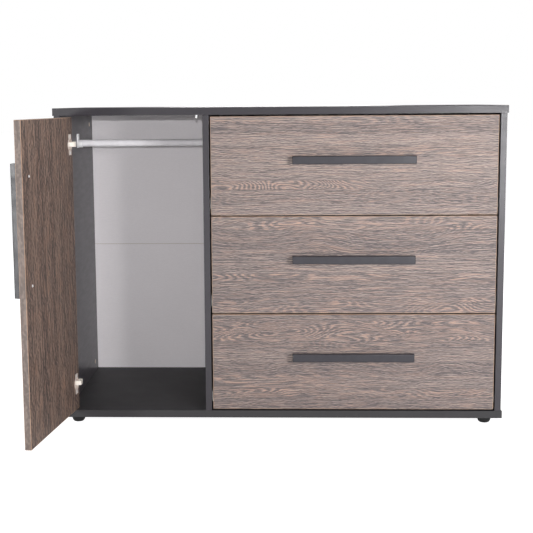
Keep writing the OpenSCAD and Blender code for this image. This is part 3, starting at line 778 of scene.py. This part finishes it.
def cross_tool(radius, top, deep):
    """Two crossed wedges that cut a recess from the top down to deep."""
    bm = bmesh.new()
    arm, half = radius * ARM, radius * ARM_HALF
    for turn, wider in ((0.0, ARM_WIDER), (math.pi / 2, 1.0)):
        made = []
        for height, scale in ((top * ARM_OUT, 1.0), (top - deep, ARM_FOOT)):
            for x, y in ((-arm, -half), (arm, -half), (arm, half), (-arm, half)):
                point = Vector((x * scale, y * wider, height))
                made.append(bm.verts.new(Matrix.Rotation(turn, 3, "Z") @ point))
        bm.faces.new(made[:4])
        bm.faces.new(made[4:][::-1])
        for k in range(4):
            n = (k + 1) % 4
            bm.faces.new((made[k + 4], made[n + 4], made[n], made[k]))
    bmesh.ops.recalc_face_normals(bm, faces=bm.faces)
    return finished(bm, "cross_tool")


# Thread: pitch, root and crest as shares of the shank's radius
THREAD_PITCH = 0.9
THREAD_ROOT = 0.78
THREAD_CREST = 0.99
NECK = 0.0002
SCREW_STEPS = 20
DOME_STEPS = 5
GLIDE_STEPS = 48


def screw_mesh(head_r, head_h, shank_r, length):
    """Domed cross head on a threaded shank. The seat of the head is at 0. The
    bare numbers are shares of the shank's radius, the pitch and the head."""
    profile = [(0.0, -length), (shank_r * 0.5, -length + shank_r)]
    pitch = shank_r * THREAD_PITCH
    turns = int((length - 2 * shank_r) / pitch)
    for k in range(turns):
        foot = -length + 1.6 * shank_r + k * pitch
        crest = (shank_r * THREAD_CREST, foot + pitch * 0.4)
        profile += [(shank_r * THREAD_ROOT, foot), crest]
    profile += [(shank_r * 0.8, -NECK), (head_r * 0.96, 0.0), (head_r, head_h * 0.3)]
    for k in range(1, DOME_STEPS):
        a = math.radians(90 * k / DOME_STEPS)
        profile.append((head_r * math.cos(a), head_h * (0.3 + 0.68 * math.sin(a))))
    profile.append((0.0, head_h * 0.99))
    return drilled(lathe(profile, SCREW_STEPS), cross_tool(head_r, head_h, head_h * RECESS))


def screw_at(points):
    """Reads a plain screw's points: radius and height of its head, radius and
    length of its shank, and the matrix that puts a screw of screw_mesh there."""
    low, high = span(points)
    size = high - low
    axis = max(range(3), key=lambda i: size[i])
    middle = (low + high) / 2
    spans = []
    for p in points:
        out = p - middle
        out[axis] = 0.0
        spans.append((out.length, p[axis]))
    head_r = max(r for r, _ in spans)
    heads = [at for r, at in spans if r > head_r * 0.9]
    shank_r = max(r for r, _ in spans if r < head_r * 0.8)
    up = 1.0 if max(heads) > high[axis] - NEAR else -1.0
    head_h = max(heads) - min(heads)
    numbers = tuple(round(n, 5) for n in (head_r, head_h, shank_r, size[axis] - head_h))
    aim = Vector([up if i == axis else 0.0 for i in range(3)])
    middle[axis] = min(heads) if up > 0 else max(heads)
    return numbers, Matrix.Translation(middle) @ aim.to_track_quat("Z", "Y").to_matrix().to_4x4()


def cross_screws(node, turn=UNTURNED):
    """Puts a cross-head screw where each plain screw of the node is."""
    bm = bmesh.new()
    kinds = {}
    for points in linked_solids(node, turn):
        numbers, move = screw_at(points)
        if numbers not in kinds:
            kinds[numbers] = screw_mesh(*numbers)
        add_moved(bm, kinds[numbers], turn.inverted() @ move)
    name = node + "_cross"
    dress(placed(name, finished(bm, name)), node, FINISH["zinc_steel"])


# Share of the radius and share of the height of a glide, from the floor up
GLIDE_PROFILE = [
    (0.55, 0.0), (0.66, 0.03), (0.77, 0.12), (0.86, 0.27),
    (0.92, 0.45), (0.965, 0.65), (0.985, 0.85), (0.985, 1.0),
]
# Bevel at the top of its plug
PLUG_BEVEL = 0.001


def glides(node):
    """Puts a bowl-shaped glide, narrower at the floor, where each plain foot is."""
    bm = bmesh.new()
    for points in linked_solids(node, UNTURNED):
        low, high = span(points)
        middle = (low + high) / 2
        radius = (high.x - low.x) / 2
        outs = [(math.hypot(p.x - middle.x, p.y - middle.y), p.z) for p in points]
        seat = max(z for r, z in outs if r > radius * 0.9)
        plug = max(r for r, z in outs if z > seat + PLUG_BEVEL)
        profile = [(0.0, low.z)]
        profile += [(radius * r, low.z + (seat - low.z) * h) for r, h in GLIDE_PROFILE]
        profile += [(plug, seat), (plug, high.z - PLUG_BEVEL), (plug * 0.8, high.z), (0.0, high.z)]
        move = Matrix.Translation((middle.x, middle.y, 0.0))
        add_moved(bm, lathe(profile, GLIDE_STEPS), move)
    name = node + "_glides"
    mesh = finished(bm, name)
    for polygon in mesh.polygons:
        polygon.use_smooth = abs(polygon.normal.z) < 0.99
    dress(placed(name, mesh), node, FINISH[SLOT_OF[node]])


def softened(node):
    """Copies a fitting and rounds its sharp edges a little."""
    mesh = frame["nodes"][node].data.copy()
    bm = cleaned(mesh)
    sharp = [e for e in bm.edges if e.is_manifold and e.calc_face_angle() > SHARP
             and e.calc_length() > 3 * SOFTEN]
    round_edges(bm, sharp, SOFTEN, True)
    bm.to_mesh(mesh)
    bm.free()
    dress(placed(node + "_softened", mesh), node, FINISH[SLOT_OF[node]])


softened("door_handle")
for n in DRAWERS:
    softened(f"drawer_{n}_handle")

glides("feet")
cross_screws("cabinet_screws")
cross_screws("door_handle_screws", SHUT)
cross_screws("hinge_cup_screws", SHUT)
for n in DRAWERS:
    cross_screws(f"drawer_{n}_handle_screws")


# Studio: plain pale floor, white background for the camera, soft lights
FLOOR_SIZE = 60.0
FLOOR_GLOW = 0.94
FLOOR_SHADOW = 0.4


def make_floor():
    """Floor that looks white to the camera and still keeps the object's shadow."""
    half = FLOOR_SIZE / 2
    corners = [(-half, -half, 0), (half, -half, 0), (half, half, 0), (-half, half, 0)]
    mesh = bpy.data.meshes.new("floor")
    mesh.from_pydata(corners, [], [(0, 1, 2, 3)])
    floor = placed("floor", mesh)
    s = Shader("floor_look")
    seen = s.node("LightPath").outputs["Is Camera Ray"]
    plain = s.node("BsdfDiffuse", {"Color": srgb(225, 225, 225)}).outputs[0]
    shade = (FLOOR_SHADOW, FLOOR_SHADOW, FLOOR_SHADOW, 1.0)
    faint = s.node("BsdfDiffuse", {"Color": shade}).outputs[0]
    glow = s.node("Emission", {"Color": WHITE, "Strength": FLOOR_GLOW}).outputs[0]
    shown = s.node("AddShader", {0: faint, 1: glow}).outputs[0]
    mixed = s.node("MixShader", {0: seen, 1: plain, 2: shown}).outputs[0]
    s.node("OutputMaterial", {0: mixed})
    mesh.materials.append(s.material)


make_floor()

# Strength of the surroundings as light, and as seen in glossy surfaces
WORLD_LIGHT = 0.2
WORLD_GLOSS = 0.28


def make_world():
    """Even pale surroundings: white for the camera, softer for light and gloss."""
    world = bpy.data.worlds.new("studio")
    bpy.context.scene.world = world
    world.use_nodes = True
    s = Nodes(world.node_tree)
    path = s.node("LightPath").outputs
    seen = s.most(path["Is Camera Ray"], path["Is Transmission Ray"])
    unseen = s.line(path["Is Glossy Ray"], WORLD_GLOSS - WORLD_LIGHT, WORLD_LIGHT)
    back = s.node("Background", {"Color": WHITE, "Strength": s.most(seen, unseen)})
    s.node("OutputWorld", {0: back.outputs[0]})


make_world()


def soft_light(name, at, towards, size, power, lights, shines):
    """Square soft box that looks at a point. lights says whether it lights the
    surfaces, and shines whether it shows as a gloss in them."""
    data = bpy.data.lights.new(name, "AREA")
    data.shape = "SQUARE"
    data.size = size
    data.energy = power
    lamp = placed(name, data)
    lamp.location = at
    lamp.visible_camera = False
    lamp.visible_diffuse = lights
    lamp.visible_glossy = shines
    aim = Vector(towards) - Vector(at)
    lamp.rotation_euler = aim.to_track_quat("-Z", "Y").to_euler()


MIDDLE = (0.6, 0.1, 0.45)
RIGHT_SIDE = (1.24, 0.0, 0.8)
OPEN_DOOR = (-0.08, -0.42, 0.6)
LIGHTS = (
    # Three that light the front without a gloss of their own
    ("front_light", (0.77, -5.0, 1.135), MIDDLE, 0.04, 76.0, True, False),
    ("low_light", (0.3, -4.4, 0.62), MIDDLE, 1.2, 23.0, True, False),
    ("right_light", (2.1, -2.3, 1.0), MIDDLE, 0.7, 57.0, True, False),
    # Weak fills, so that the sides, the back and the top can be seen too
    ("right_fill", (3.6, 1.6, 1.4), MIDDLE, 1.5, 45.0, True, False),
    ("left_fill", (-3.2, 0.6, 1.4), MIDDLE, 1.5, 60.0, True, True),
    ("back_fill", (0.6, 4.2, 1.4), MIDDLE, 1.5, 30.0, True, True),
    ("top_fill", (0.6, 0.7, 3.6), MIDDLE, 1.8, 36.0, True, True),
    # Two that only give a gloss, at the right edge and on the open door
    ("right_shine", (2.05, -3.1, 0.78), RIGHT_SIDE, 0.35, 42.0, False, True),
    ("left_shine", (-1.5, -2.9, 0.5), OPEN_DOOR, 0.35, 46.0, False, True),
)
for light in LIGHTS:
    soft_light(*light)

bpy.context.scene.view_settings.view_transform = "Standard"
